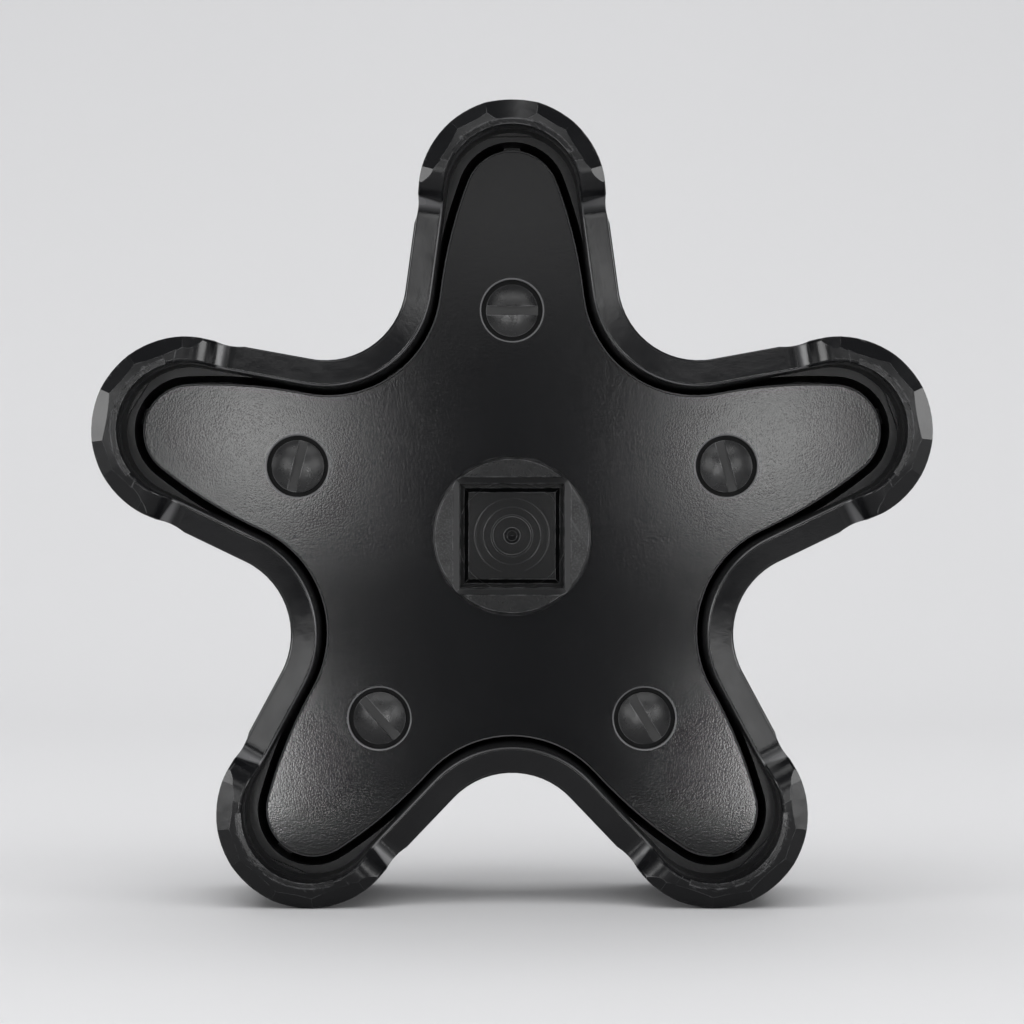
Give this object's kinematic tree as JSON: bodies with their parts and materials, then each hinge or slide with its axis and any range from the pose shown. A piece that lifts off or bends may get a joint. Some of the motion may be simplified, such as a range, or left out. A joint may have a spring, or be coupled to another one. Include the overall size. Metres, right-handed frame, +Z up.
{
  "type": "star knob",
  "caption": "Black star knob with rounded lobes, a hollow moulded body, a screwed cover plate and a steel hub with a blind square socket.",
  "frame": {"origin": "on the knob's axis, in the plane of the hub's end face, at the mouth of the square socket", "axes": "+Z up through the top lobe, the knob stands on its two lower lobes; -Y along the knob's axis out of the socket, +Y towards the crowned back; +X to the right when looking at the socket"},
  "size_m": [0.148, 0.0394, 0.1424],
  "materials": {
    "shell_plastic": "satin black moulding with rubbed edges",
    "plate_plastic": "black, fine leather-like grain",
    "hub_steel": "blackened steel, scuffed and turned",
    "screw_steel": "black oxide, semi-gloss",
    "insert_brass": "turned"
  },
  "bodies": {
    "root": {"shell": "shell_plastic", "cover_plate": "plate_plastic", "hub": "hub_steel", "screw_1": "screw_steel", "screw_2": "screw_steel", "screw_3": "screw_steel", "screw_4": "screw_steel", "screw_5": "screw_steel", "insert_1": "insert_brass", "insert_2": "insert_brass", "insert_3": "insert_brass", "insert_4": "insert_brass", "insert_5": "insert_brass"}
  },
  "joints": []
}
